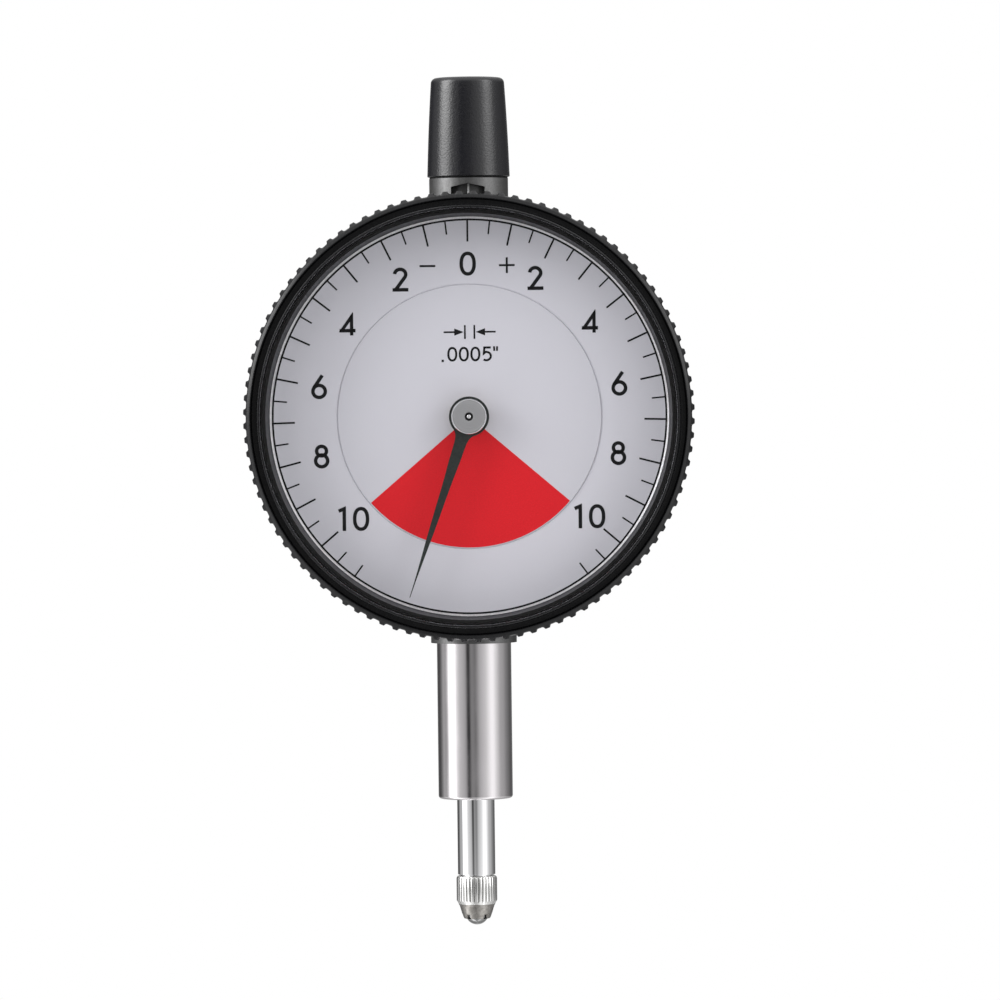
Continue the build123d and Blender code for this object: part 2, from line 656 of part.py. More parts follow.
def crystal():
    return turned_y([
        (0, CRYSTAL_REAR), (R_CRYSTAL, CRYSTAL_REAR), (R_CRYSTAL, CRYSTAL_FRONT + 0.2),
        (R_CRYSTAL - 0.2, CRYSTAL_FRONT), (0, CRYSTAL_FRONT),
    ])


def crystal_gasket():
    return rod_y(R_BORE, CRYSTAL_FRONT, CRYSTAL_REAR) - rod_y(R_CRYSTAL, CRYSTAL_FRONT, CRYSTAL_REAR)


PIECES = {
    "case_shell": case_shell(),
    "bezel_retainer": bezel_retainer(),
    "stem": stem(),
    "lower_bush": bush(-STEM_TOP + 0.3, -STEM_TOP + 7.0, R_BUSH, R_SPINDLE),
    "middle_bush": bush(STEM_END - 6.5, STEM_END, R_BUSH, R_SPINDLE),
    "upper_bush": bush(UPPER_END, UPPER_END + 5.0, R_UPPER, R_ROD),
    "top_sleeve": top_sleeve(),
    "dust_cap": dust_cap(),
    "back_cover": back_cover(),
    "cover_gasket": cover_gasket(),
    "back_screws": back_screws(),
    "bridge_plate": bridge_plate(),
    "bridge_pillars": pillars(),
    "bridge_screws": bridge_screws(),
    "front_centre_bush": centre_bush(1.5, CASE_FRONT, WALL_REAR),
    "rear_centre_bush": centre_bush(1.2, BRIDGE_FRONT, BRIDGE_REAR),
    "hairspring_stud": hairspring_stud(),
    "guide_block": guide_block(),
    "carriage_guide_rod": guide_rod(),
    "rack_carriage": rack_carriage(),
    "spindle": spindle(),
    "spindle_collar": spindle_collar(),
    "guide_pin": guide_pin(),
    "spindle_spring": spindle_spring(),
    "contact_body": contact_body(),
    "contact_ball": contact_ball(),
    "sector_gear": sector_gear(),
    "sector_arbor": sector_arbor(),
    "centre_pinion": centre_pinion(),
    "takeup_wheel": takeup_wheel(),
    "takeup_arbor": takeup_arbor(),
    "hairspring": hairspring(),
    "pointer": pointer(),
    "pointer_hub": pointer_hub(),
    "hub_disc": hub_disc(),
    "bezel_ring": bezel_ring(),
    "inner_ring": inner_ring(),
    "dial_plate": dial_plate(),
    "crystal": crystal(),
    "crystal_gasket": crystal_gasket(),
}

os.makedirs("parts", exist_ok=True)
for name, shape in PIECES.items():
    if isinstance(shape, list):
        shape = Compound(children=shape)
    export_step(shape, f"parts/{name}.step")
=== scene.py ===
"""A dial indicator of the one-revolution type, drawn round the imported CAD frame."""
import math

import bmesh
import bpy
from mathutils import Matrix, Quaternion, Vector


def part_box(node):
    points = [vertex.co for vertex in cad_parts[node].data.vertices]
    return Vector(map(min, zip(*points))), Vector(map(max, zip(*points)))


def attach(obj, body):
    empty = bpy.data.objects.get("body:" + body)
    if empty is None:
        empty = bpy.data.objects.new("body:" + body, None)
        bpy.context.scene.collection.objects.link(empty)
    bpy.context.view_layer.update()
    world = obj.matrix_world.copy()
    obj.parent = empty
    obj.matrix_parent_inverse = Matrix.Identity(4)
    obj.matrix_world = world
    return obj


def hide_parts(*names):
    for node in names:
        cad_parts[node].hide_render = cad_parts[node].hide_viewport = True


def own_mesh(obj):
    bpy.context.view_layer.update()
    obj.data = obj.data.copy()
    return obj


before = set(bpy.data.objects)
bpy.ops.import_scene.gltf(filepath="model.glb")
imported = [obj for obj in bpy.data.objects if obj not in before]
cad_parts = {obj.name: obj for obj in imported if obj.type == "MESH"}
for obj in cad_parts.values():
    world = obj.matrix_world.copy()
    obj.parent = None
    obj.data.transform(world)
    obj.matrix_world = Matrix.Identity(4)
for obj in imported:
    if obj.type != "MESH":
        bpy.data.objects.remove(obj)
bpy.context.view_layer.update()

MM = 0.001


def span(node):
    """A CAD node's lowest and highest corners, in millimetres."""
    low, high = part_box(node)
    return Vector(low) / MM, Vector(high) / MM


def span_radius(box):
    """Half a box's width."""
    return (box[1].x - box[0].x) / 2


# Places and sizes in millimetres, from the frame
BEZEL = span("bezel_ring")
DIAL = span("dial_plate")
GLASS = span("crystal")
INNER = span("inner_ring")
POINTER = span("pointer")
DISC = span("hub_disc")
STEM = span("stem")
SPINDLE = span("spindle")
BALL = span("contact_ball")
CAP = span("dust_cap")
SLEEVE = span("top_sleeve")
CENTRE_Z = (DIAL[0].z + DIAL[1].z) / 2
BEZEL_R = round((BEZEL[1].z - BEZEL[0].z) / 2, 1)
BORE_R = span_radius(INNER)
GLASS_R = span_radius(GLASS)
DIAL_R = span_radius(DIAL)
DIAL_Y = DIAL[0].y         # raised middle of the dial

# The dial's own sizes
SEEN_R = BORE_R - 1.15     # what shows inside the inner ring
SCALE_Y = DIAL_Y + 0.12    # ring that bears the scale
STEP_R = 16.7              # edge of the raised middle
INK = 0.015                # thickness of the printing


# Mesh helpers

def finish_mesh(name, bm, material, sharp=30):
    """Turns a bmesh in millimetres into a smooth-shaded object in metres."""
    bmesh.ops.remove_doubles(bm, verts=bm.verts, dist=1e-5)
    bmesh.ops.recalc_face_normals(bm, faces=bm.faces)
    mesh = bpy.data.meshes.new(name)
    bm.to_mesh(mesh)
    bm.free()
    for vertex in mesh.vertices:
        vertex.co *= MM
    mesh.shade_smooth()
    mesh.set_sharp_from_angle(angle=math.radians(sharp))
    mesh.materials.append(material)
    piece = bpy.data.objects.new(name, mesh)
    bpy.context.scene.collection.objects.link(piece)
    return piece


def rounded(points, steps=5):
    """A closed outline in which a point's third value is its corner radius."""
    out = []
    count = len(points)
    for i, point in enumerate(points):
        here = Vector(point[:2])
        if len(point) < 3:
            out.append(tuple(here))
            continue
        back = Vector(points[i - 1][:2]) - here
        ahead = Vector(points[(i + 1) % count][:2]) - here
        half = back.angle(ahead) / 2
        reach = min(point[2] / math.tan(half), 0.49 * back.length, 0.49 * ahead.length)
        radius = reach * math.tan(half)
        start, end = here + back.normalized() * reach, here + ahead.normalized() * reach
        inwards = (back.normalized() + ahead.normalized()).normalized()
        middle = here + inwards * (radius / math.sin(half))
        for k in range(steps + 1):
            spot = (start - middle).lerp(end - middle, k / steps)
            out.append(tuple(middle + spot.normalized() * radius))
    return out


def lathe(name, outline, material, axis="y", centre=None, steps=192, shape=None, sharp=30):
    """Turns a closed outline of radius and height about an axis along Y or Z.

    shape(angle, radius, height) may change the radius, for a knurl."""
    bm = bmesh.new()
    cx, cz = centre or (0, CENTRE_Z if axis == "y" else 0)
    rings = []
    for radius, height in outline:
        ring = []
        for k in range(steps):
            angle = 2 * math.pi * k / steps
            r = shape(angle, radius, height) if shape else radius
            a, b = r * math.sin(angle), r * math.cos(angle)
            ring.append((cx + a, height, cz + b) if axis == "y" else (cx + a, cz + b, height))
        if radius < 1e-6:
            rings.append([bm.verts.new(ring[0])] * steps)
        else:
            rings.append([bm.verts.new(spot) for spot in ring])
    for one, two in zip(rings, rings[1:] + rings[:1]):
        for k in range(steps):
            corners = [one[k], one[(k + 1) % steps], two[(k + 1) % steps], two[k]]
            corners = list(dict.fromkeys(corners))
            if len(corners) > 2:
                bm.faces.new(corners)
    return finish_mesh(name, bm, material, sharp)


def slab(bm, outline, front, rear):
    """A closed prism from an outline in X and Z about the dial's centre, between two depths."""
    near = [bm.verts.new((x, front, CENTRE_Z + z)) for x, z in outline]
    far = [bm.verts.new((x, rear, CENTRE_Z + z)) for x, z in outline]
    bm.faces.new(near)
    bm.faces.new(far[::-1])
    count = len(outline)
    for k in range(count):
        bm.faces.new((near[k], far[k], far[(k + 1) % count], near[(k + 1) % count]))


def ribbon(bm, path, width, front, rear, closed=False):
    """A stroke of even width along a path in X and Z; a sharp corner's mitre is limited."""
    points = [Vector(p) for p in path]
    count = len(points)
    grid = []
    for k, here in enumerate(points):
        ways = []
        if closed or k:
            ways.append((here - points[k - 1]).normalized())
        if closed or k < count - 1:
            ways.append((points[(k + 1) % count] - here).normalized())
        normals = [Vector((-way.y, way.x)) for way in ways]
        side = sum(normals, Vector((0, 0))).normalized()
        side *= width / 2 / max(0.35, side.dot(normals[0]))
        edges = (here + side, here - side)
        grid.append([bm.verts.new((p.x, y, CENTRE_Z + p.y)) for p in edges for y in (front, rear)])
    following = grid[1:] + grid[:1] if closed else grid[1:]
    for a, b in zip(grid, following):
        for i, j in ((0, 2), (2, 3), (3, 1), (1, 0)):
            bm.faces.new((a[i], a[j], b[j], b[i]))
    if not closed:
        for end in (grid[0], grid[-1]):
            bm.faces.new((end[0], end[2], end[3], end[1]))


def arc(x, z, radius_x, radius_z, start, end, steps=24):
    """Points along an ellipse's arc, with angles in degrees from +X towards +Z."""
    angles = [math.radians(start + (end - start) * k / steps) for k in range(steps + 1)]
    return [(x + radius_x * math.cos(a), z + radius_z * math.sin(a)) for a in angles]


# Materials

class Graph:
    """Makes and links the nodes of one tree."""

    def __init__(self, tree):
        self.tree = tree

    def node(self, kind, **settings):
        made = self.tree.nodes.new(kind)
        for key, value in settings.items():
            setattr(made, key, value)
        return made

    def link(self, out, into):
        self.tree.links.new(out, into)


class Finish(Graph):
    """A principled material whose detail comes from procedural nodes."""

    def __init__(self, name, colour, metallic=0.0, roughness=0.4, specular=0.5):
        self.material = bpy.data.materials.new(name)
        self.material.use_nodes = True
        super().__init__(self.material.node_tree)
        self.shader = self.tree.nodes["Principled BSDF"]
        self.shader.inputs["Base Color"].default_value = (*colour, 1)
        self.shader.inputs["Metallic"].default_value = metallic
        self.shader.inputs["Roughness"].default_value = roughness
        self.shader.inputs["Specular IOR Level"].default_value = specular
        self.out = self.tree.nodes["Material Output"]
        self.place = self.node("ShaderNodeTexCoord").outputs["Object"]
        self.heights = []

    def grain(self, size, stretch=(1, 1, 1), detail=3.0, roughness=0.5):
        """Noise whose features are about size millimetres across."""
        mapping = self.node("ShaderNodeMapping")
        mapping.inputs["Scale"].default_value = [1 / (size * MM * s) for s in stretch]
        self.link(self.place, mapping.inputs["Vector"])
        noise = self.node("ShaderNodeTexNoise")
        noise.inputs["Scale"].default_value = 1.0
        noise.inputs["Detail"].default_value = detail
        noise.inputs["Roughness"].default_value = roughness
        self.link(mapping.outputs["Vector"], noise.inputs["Vector"])
        return noise.outputs["Fac"]

    def spread(self, source, low, high, start=0.3, end=0.7):
        """A source from start to end, spread from low to high."""
        ranged = self.node("ShaderNodeMapRange")
        ranged.inputs["From Min"].default_value = start
        ranged.inputs["From Max"].default_value = end
        ranged.inputs["To Min"].default_value = low
        ranged.inputs["To Max"].default_value = high
        self.link(source, ranged.inputs["Value"])
        return ranged.outputs["Result"]

    def rough(self, source, low, high):
        self.link(self.spread(source, low, high), self.shader.inputs["Roughness"])
        return self

    def tint(self, source, dark, light):
        mix = self.node("ShaderNodeMix", data_type="RGBA")
        self.link(self.spread(source, 0.0, 1.0), mix.inputs["Factor"])
        for socket, colour in zip([s for s in mix.inputs if s.type == "RGBA"], (dark, light)):
            socket.default_value = (*colour, 1)
        self.link(next(s for s in mix.outputs if s.type == "RGBA"), self.shader.inputs["Base Color"])
        return self

    def bump(self, source, height):
        """Adds a bump of height millimetres."""
        made = self.node("ShaderNodeBump")
        made.inputs["Strength"].default_value = 1.0
        made.inputs["Distance"].default_value = height * MM
        self.link(source, made.inputs["Height"])
        if self.heights:
            self.link(self.heights[-1], made.inputs["Normal"])
        self.heights.append(made.outputs["Normal"])
        self.link(made.outputs["Normal"], self.shader.inputs["Normal"])
        return self

    def rings(self, pitch):
        """Turning marks: waves of the distance from the dial's axis, a pitch in millimetres apart."""
        mapping = self.node("ShaderNodeMapping")
        mapping.inputs["Location"].default_value = (0, 0, -CENTRE_Z * MM)
        self.link(self.place, mapping.inputs["Vector"])
        parts = self.node("ShaderNodeSeparateXYZ")
        self.link(mapping.outputs["Vector"], parts.inputs["Vector"])
        flat = self.node("ShaderNodeCombineXYZ")
        self.link(parts.outputs["X"], flat.inputs["X"])
        self.link(parts.outputs["Z"], flat.inputs["Y"])
        length = self.node("ShaderNodeVectorMath", operation="LENGTH")
        self.link(flat.outputs["Vector"], length.inputs[0])
        scaled = self.node("ShaderNodeMath", operation="MULTIPLY")
        scaled.inputs[1].default_value = 1 / (pitch * MM)
        self.link(length.outputs["Value"], scaled.inputs[0])
        noise = self.node("ShaderNodeTexNoise", noise_dimensions="1D")
        noise.inputs["Scale"].default_value = 1.0
        noise.inputs["Detail"].default_value = 2.0
        self.link(scaled.outputs["Value"], noise.inputs["W"])
        return noise.outputs["Fac"]


def ground_steel():
    f = Finish("ground_steel", (0.71, 0.685, 0.70), metallic=1.0, roughness=0.12)
    lines = f.grain(0.05, stretch=(30, 30, 1), detail=2)
    f.rough(f.grain(2.0, stretch=(1, 1, 2), detail=4), 0.09, 0.19)
    return f.bump(lines, 0.0008).bump(f.grain(0.6, stretch=(1, 1, 3)), 0.0014).material


def polished_steel():
    f = Finish("polished_steel", (0.92, 0.92, 0.93), metallic=1.0, roughness=0.04)
    f.rough(f.grain(1.5, stretch=(1, 1, 4)), 0.03, 0.055)
    return f.bump(f.grain(0.06, stretch=(25, 25, 1), detail=2), 0.0002).material


def knurled_steel():
    f = Finish("knurled_steel", (0.80, 0.80, 0.79), metallic=1.0, roughness=0.12)
    f.rough(f.grain(0.5), 0.10, 0.18)
    return f.bump(f.grain(0.12), 0.0008).material


def cone_steel():
    f = Finish("cone_steel", (0.50, 0.48, 0.45), metallic=1.0, roughness=0.28)
    f.rough(f.grain(0.4), 0.22, 0.36)
    f.tint(f.grain(0.35, detail=4), (0.24, 0.23, 0.215), (0.38, 0.365, 0.345))
    return f.bump(f.grain(0.1), 0.003).material


def carbide():
    f = Finish("carbide", (0.36, 0.36, 0.37), metallic=1.0, roughness=0.14)
    f.rough(f.grain(0.3), 0.11, 0.18)
    return f.tint(f.grain(0.08), (0.32, 0.32, 0.32), (0.42, 0.42, 0.42)).material


def satin_alloy(name, grey):
    f = Finish(name, (grey, grey, grey), metallic=1.0, roughness=0.42)
    f.rough(f.grain(0.8), 0.38, 0.48)
    f.tint(f.grain(0.18, detail=4), (grey * 0.85,) * 3, (grey * 1.15,) * 3)
    return f.bump(f.grain(0.15, detail=4), 0.010).material


def cap_plastic():
    f = Finish("cap_plastic", (0.002, 0.002, 0.004), roughness=0.26, specular=0.7)
    f.shader.inputs["Sheen Weight"].default_value = 0.22
    f.shader.inputs["Sheen Roughness"].default_value = 0.18
    f.rough(f.grain(0.4), 0.22, 0.29)
    f.tint(f.grain(2.0), (0.001, 0.001, 0.003), (0.002, 0.002, 0.005))
    return f.bump(f.grain(0.24, detail=4), 0.022).material


def bezel_black():
    f = Finish("bezel_black", (0.010, 0.010, 0.012), roughness=0.24, specular=0.32)
    f.rough(f.grain(0.5), 0.20, 0.30)
    f.tint(f.grain(0.25, detail=4), (0.002, 0.002, 0.003), (0.008, 0.008, 0.009))
    return f.bump(f.grain(0.15, detail=3), 0.0035).material


def inner_grey():
    f = Finish("inner_grey", (0.028, 0.028, 0.032), roughness=0.5)
    f.rough(f.grain(0.3), 0.42, 0.58)
    f.tint(f.grain(0.15, detail=4), (0.020, 0.020, 0.023), (0.045, 0.045, 0.050))
    return f.bump(f.grain(0.12, detail=4), 0.012).material


def dial_lacquer():
    f = Finish("dial_lacquer", (0.70, 0.694, 0.742), roughness=0.42)
    f.rough(f.grain(0.4), 0.38, 0.48)
    f.tint(f.grain(0.10, detail=2), (0.692, 0.686, 0.734), (0.712, 0.706, 0.754))
    return f.bump(f.grain(0.10, detail=3), 0.0015).material


def ink(name, colour):
    f = Finish(name, colour, roughness=0.5, specular=0.12)
    light = tuple(c * 1.1 + 0.002 for c in colour)
    return f.tint(f.grain(0.2, detail=3), colour, light).bump(f.grain(0.12), 0.001).material


def pointer_paint():
    f = Finish("pointer_paint", (0.022, 0.026, 0.024), roughness=0.45, specular=0.25)
    f.rough(f.grain(0.4), 0.38, 0.52)
    return f.tint(f.grain(0.3), (0.014, 0.018, 0.016), (0.026, 0.031, 0.029)).material


def turned_disc():
    f = Finish("turned_disc", (0.45, 0.45, 0.45), metallic=0.35, roughness=0.34)
    marks = f.rings(0.09)
    f.rough(marks, 0.28, 0.42)
    return f.tint(marks, (0.30, 0.30, 0.305), (0.45, 0.45, 0.455)).bump(marks, 0.012).material


def turned_brass():
    f = Finish("turned_brass", (0.72, 0.52, 0.24), metallic=1.0, roughness=0.28)
    f.rough(f.grain(0.5), 0.22, 0.36)
    f.tint(f.grain(1.2), (0.66, 0.46, 0.20), (0.76, 0.56, 0.27))
    return f.bump(f.grain(0.1), 0.002).material


def plain_steel(name, grey):
    f = Finish(name, (grey, grey, grey * 1.02), metallic=1.0, roughness=0.28)
    f.rough(f.grain(0.4), 0.22, 0.36)
    return f.bump(f.grain(0.1), 0.002).material


def rubber():
    f = Finish("rubber", (0.005, 0.005, 0.005), roughness=0.6, specular=0.2)
    f.tint(f.grain(0.3), (0.003, 0.003, 0.003), (0.007, 0.007, 0.007))
    return f.bump(f.grain(0.1), 0.01).material


def clear_crystal():
    """Seen through, with a reflection on the faces that look outwards."""
    f = Finish("clear_crystal", (1, 1, 1))
    clear = f.node("ShaderNodeBsdfTransparent")
    clear.inputs["Color"].default_value = (0.985, 0.985, 0.99, 1)
    gloss = f.node("ShaderNodeBsdfGlossy")
    gloss.inputs["Roughness"].default_value = 0.02
    fresnel = f.node("ShaderNodeFresnel")
    fresnel.inputs["IOR"].default_value = 1.49
    geometry = f.node("ShaderNodeNewGeometry")
    outside = f.node("ShaderNodeMath", operation="SUBTRACT")
    outside.inputs[0].default_value = 1.0
    f.link(geometry.outputs["Backfacing"], outside.inputs[1])
    share = f.node("ShaderNodeMath", operation="MULTIPLY")
    f.link(fresnel.outputs["Fac"], share.inputs[0])
    f.link(outside.outputs["Value"], share.inputs[1])
    mix = f.node("ShaderNodeMixShader")
    f.link(share.outputs["Value"], mix.inputs["Fac"])
    f.link(clear.outputs["BSDF"], mix.inputs[1])
    f.link(gloss.outputs["BSDF"], mix.inputs[2])
    f.link(mix.outputs["Shader"], f.out.inputs["Surface"])
    f.tree.nodes.remove(f.shader)
    return f.material


STEEL = ground_steel()
POLISHED = polished_steel()
KNURLED = knurled_steel()
CONE = cone_steel()
ALLOY = satin_alloy("satin_alloy", 0.16)
DARK_ALLOY = satin_alloy("dark_alloy", 0.13)
BARE_ALLOY = satin_alloy("bare_alloy", 0.75)
BLACK_CAP = cap_plastic()
BEZEL_BLACK = bezel_black()
INNER_GREY = inner_grey()
DIAL_FACE = dial_lacquer()
INK_BLACK = ink("ink_black", (0.003, 0.003, 0.004))
INK_RED = ink("ink_red", (0.74, 0.012, 0.020))
PAINT = pointer_paint()
TURNED = turned_disc()
BRASS = turned_brass()
SCREW_STEEL = plain_steel("screw_steel", 0.5)
WIRE_STEEL = plain_steel("wire_steel", 0.38)
RUBBER = rubber()
CARBIDE = carbide()
CRYSTAL = clear_crystal()


def hold(piece, body, slot, *nodes):
    """The piece moves with a body and may stand for CAD nodes; the slot is not used."""
    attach(piece, body)
    if nodes:
        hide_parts(*nodes)
    return piece


# Bezel

TEETH = 100
TOOTH_DEPTH = 0.33
CREST = 0.15               # half a crest's width, as a share of the pitch
FLANK = 0.14               # a flank's width, as a share of the pitch
LIP_WIDTH = 1.85           # the lip that the dial lies on
LIP_DEPTH = 0.4


def knurl(angle, radius, height):
    """A tooth has a narrow rounded crest and a wide valley."""
    phase = (angle * TEETH / (2 * math.pi)) % 1.0
    away = abs(phase - 0.5)
    fall = min(1.0, max(0.0, (away - CREST) / FLANK))
    fall = fall * fall * (3 - 2 * fall)
    return min(radius, BEZEL_R - TOOTH_DEPTH * fall)


def bezel_pieces():
    """The knurled ring, with a deep groove between its ridge and the knurl."""
    rear, ridge, lip = BEZEL[1].y, BEZEL[0].y, DIAL[1].y
    wall, edge, bottom = BORE_R - 0.6, BORE_R - LIP_WIDTH, ridge + 2.2
    band = [(wall, rear), (BEZEL_R - 0.65, rear, 0.1), (BEZEL_R, rear - 0.55, 0.12),
            (BEZEL_R, ridge + 2.35, 0.25)]
    shoulder = [(BEZEL_R - 0.48, ridge + 1.75, 0.1), (BEZEL_R - 0.98, ridge + 1.45, 0.12)]
    groove = [(BEZEL_R - 1.05, bottom, 0.1), (BEZEL_R - 1.72, bottom, 0.1)]
    crest = [(BEZEL_R - 1.86, ridge + 0.25, 0.08), (BEZEL_R - 1.95, ridge, 0.08),
             (BEZEL_R - 2.15, ridge, 0.06), (BORE_R + 0.02, ridge + 0.25, 0.04)]
    seat = [(BORE_R, lip), (edge, lip), (edge, lip + LIP_DEPTH), (wall, lip + LIP_DEPTH)]
    outline = rounded(band + shoulder + groove + crest + seat)
    ring = lathe("bezel", outline, BEZEL_BLACK, steps=TEETH * 12, shape=knurl, sharp=40)
    hold(ring, "bezel", "bezel_black", "bezel_ring")


def inner_ring_pieces():
    """The sloping ring round the dial, and its bright turned lip."""
    front, foot = GLASS[1].y + 0.12, SEEN_R + 0.22
    slope = rounded([
        (foot, DIAL_Y), (BORE_R, DIAL_Y), (BORE_R, front), (SEEN_R + 0.72, front, 0.06),
        (SEEN_R + 0.52, DIAL_Y - 1.5, 0.1), (SEEN_R + 0.46, DIAL_Y - 1.2, 0.1),
        (SEEN_R + 0.32, DIAL_Y - 0.6, 0.1), (foot, DIAL_Y - 0.5, 0.05)], 3)
    ring = lathe("inner_ring_visual", slope, INNER_GREY, steps=256)
    hold(ring, "bezel", "inner_ring_grey", "inner_ring")
    lip = rounded([
        (SEEN_R - 0.04, DIAL_Y), (foot, DIAL_Y), (foot, DIAL_Y - 0.42, 0.03),
        (SEEN_R + 0.14, DIAL_Y - 0.40, 0.04), (SEEN_R - 0.04, DIAL_Y - 0.18, 0.04)], 3)
    hold(lathe("inner_ring_lip", lip, BARE_ALLOY, steps=256), "bezel", "inner_ring_grey")


def crystal_pieces():
    """The flat crystal with its bevelled edge, in a thin black seal."""
    front, rear, bevel = GLASS[0].y, GLASS[1].y, 0.12
    disc = rounded([
        (0, rear), (GLASS_R, rear, 0.05), (GLASS_R, front + bevel), (GLASS_R - bevel, front),
        (0, front)], 4)
    hold(lathe("crystal_visual", disc, CRYSTAL, steps=256), "bezel", "crystal", "crystal")
    inner, step, edge = BORE_R - 0.56, rear + 0.11, front + 0.1
    seal = rounded([
        (inner, rear), (inner, step), (BORE_R, step), (BORE_R, edge, 0.05),
        (GLASS_R, edge, 0.05), (GLASS_R, rear)], 3)
    hold(lathe("crystal_seal", seal, RUBBER, steps=256), "bezel", "gasket", "crystal_gasket")


# Dial and its printing

TICK_PITCH = 6.53          # degrees
TICKS = 22                 # marks on each side of the zero
SCALE_END = 20             # the last mark with a numeral
LONG_TICK = (22.15, 0.235)  # inner end's radius, and width
SHORT_TICK = (23.2, 0.20)
HOLE_R = 1.2
NUMERAL = (3.02, 0.45)     # height and stroke
UNIT = (1.84, 0.27)


def at_dial(angle, radius):
    """A point on the dial from its angle, clockwise from the top in degrees, and its radius."""
    a = math.radians(angle)
    return (radius * math.sin(a), radius * math.cos(a))


def dial_plate_piece():
    """The plate, with a fine groove round its raised middle."""
    outline = rounded([
        (HOLE_R, DIAL[1].y), (DIAL_R, DIAL[1].y), (DIAL_R, SCALE_Y), (STEP_R + 0.14, SCALE_Y, 0.03),
        (STEP_R + 0.05, SCALE_Y + 0.08), (STEP_R - 0.03, DIAL_Y, 0.03), (HOLE_R, DIAL_Y)], 3)
    hold(lathe("dial_face", outline, DIAL_FACE, steps=256), "bezel", "dial_print", "dial_plate")


def tick_marks():
    """Long and short marks by turns, and a black ring at their outer ends that is painted shadow of the gap
    between the dial and the inner ring.
    """
    bm = bmesh.new()
    for k in range(-TICKS, TICKS + 1):
        inner, width = LONG_TICK if k % 2 == 0 and abs(k) < TICKS else SHORT_TICK
        path = [at_dial(k * TICK_PITCH, inner), at_dial(k * TICK_PITCH, SEEN_R)]
        ribbon(bm, path, width, SCALE_Y - INK, SCALE_Y)
    # A black ring at the marks' outer ends: painted shadow of the gap between the dial and the inner ring.
    rim = [at_dial(3 * k, SEEN_R - 0.15) for k in range(120)]
    ribbon(bm, rim, 0.24, SCALE_Y - INK, SCALE_Y, closed=True)
    hold(finish_mesh("dial_ticks", bm, INK_BLACK), "bezel", "dial_print")


def danger_sector():
    """The red sector beyond the last numerals, on the raised middle of the dial."""
    bm = bmesh.new()
    start = SCALE_END * TICK_PITCH
    sweep = 360 - 2 * start
    rim = [at_dial(start + sweep * k / 60, STEP_R - 0.1) for k in range(61)]
    eye = [at_dial(start + sweep * k / 12, HOLE_R + 0.1) for k in range(12, -1, -1)]
    slab(bm, rim + eye, DIAL_Y - INK, DIAL_Y)
    hold(finish_mesh("dial_sector", bm, INK_RED), "bezel", "dial_print")


def oval(width, height, power=2.25, steps=48):
    """A closed loop a little fuller than an ellipse."""
    points = []
    for k in range(steps):
        a = 2 * math.pi * k / steps
        c, s = math.cos(a), math.sin(a)
        x = math.copysign(abs(c) ** (2 / power), c) * width / 2
        z = math.copysign(abs(s) ** (2 / power), s) * height / 2
        points.append((x, z))
    return points


def glyph(sign):
    """A sign's strokes about its middle for a height of 3 mm, each with how it is drawn."""
    if sign == "0":
        return [(oval(1.62, 2.58), "loop")]
    if sign == "1":
        return [([(-0.70, 1.0), (0.0, 1.30), (0.0, -1.5)], "line")]
    if sign == "2":
        hook = arc(-0.02, 0.64, 0.70, 0.65, 175, -38)
        return [(hook + [(-0.62, -1.3)], "line"), ([(-1.0, -1.29), (1.0, -1.29)], "line")]
    if sign == "4":
        return [([(0.70, 1.5), (-1.08, -1.02), (-0.45, -0.85), (0.60, 0.65)], "fill"),
                ([(-0.98, -0.84), (1.04, -0.84)], "line"),
                ([(0.76, 1.4), (0.70, 1.5), (0.34, 1.0), (0.34, -1.45), (0.76, -1.45)], "fill")]
    if sign == "5":
        bowl = arc(-0.12, -0.45, 0.93, 0.86, 118, -128)
        return [([(0.82, 1.32), (-0.52, 1.32), (-0.62, 0.1)] + bowl[2:], "line")]
    if sign == "6":
        bowl = arc(0, -0.52, 0.78, 0.76, 0, 360, 40)[:-1]
        return [(bowl, "loop"), ([(-0.70, -0.12), (0.42, 1.5)], "line")]
    if sign == "8":
        return [(arc(0, 0.68, 0.62, 0.60, 0, 360, 36)[:-1], "loop"),
                (arc(0, -0.55, 0.76, 0.74, 0, 360, 40)[:-1], "loop")]
    if sign == ".":
        return [([(-0.24, -1.34), (0.24, -1.34)], "line")]
    if sign == '"':
        return [([(-0.30, 1.55), (-0.26, 0.6)], "line"), ([(0.34, 1.55), (0.30, 0.6)], "line")]
    raise ValueError(sign)


def write(bm, signs, x, z, height, weight, level, advance=0):
    """Signs in a row about x and z, with the given advance between their middles."""
    scale = height / 3.0
    start = x - advance * (len(signs) - 1) / 2
    for k, sign in enumerate(signs):
        for path, kind in glyph(sign):
            moved = [(start + k * advance + px * scale, z + pz * scale) for px, pz in path]
            if kind == "fill":
                slab(bm, moved, level - INK, level)
            else:
                ribbon(bm, moved, weight, level - INK, level, kind == "loop")


def numerals():
    """The zero, and the even numerals on both sides, each at the mark of twice its value."""
    bm = bmesh.new()
    write(bm, "0", 0.0, 19.35, *NUMERAL, SCALE_Y)
    for value in (2, 4, 6, 8):
        for side in (-1, 1):
            x, z = at_dial(side * value * 2 * TICK_PITCH, 19.42)
            write(bm, str(value), x, z, *NUMERAL, SCALE_Y)
    for side in (-1, 1):
        x, z = at_dial(side * SCALE_END * TICK_PITCH, 19.7)
        write(bm, "10", x, z, *NUMERAL, SCALE_Y, advance=2.13)
    hold(finish_mesh("dial_numerals", bm, INK_BLACK), "bezel", "dial_print")


def minus_and_plus(bm):
    """The signs beside the zero; the plus has its upright in two halves."""
    minus_x, plus_x, row, reach, thin = -5.1, 4.95, 19.1, 1.0, 0.26
    for x in (minus_x, plus_x):
        ribbon(bm, [(x - reach, row), (x + reach, row)], thin, SCALE_Y - INK, SCALE_Y)
    for side in (-1, 1):
        upright = [(plus_x, row + side * thin / 2), (plus_x, row + side * reach)]
        ribbon(bm, upright, thin, SCALE_Y - INK, SCALE_Y)


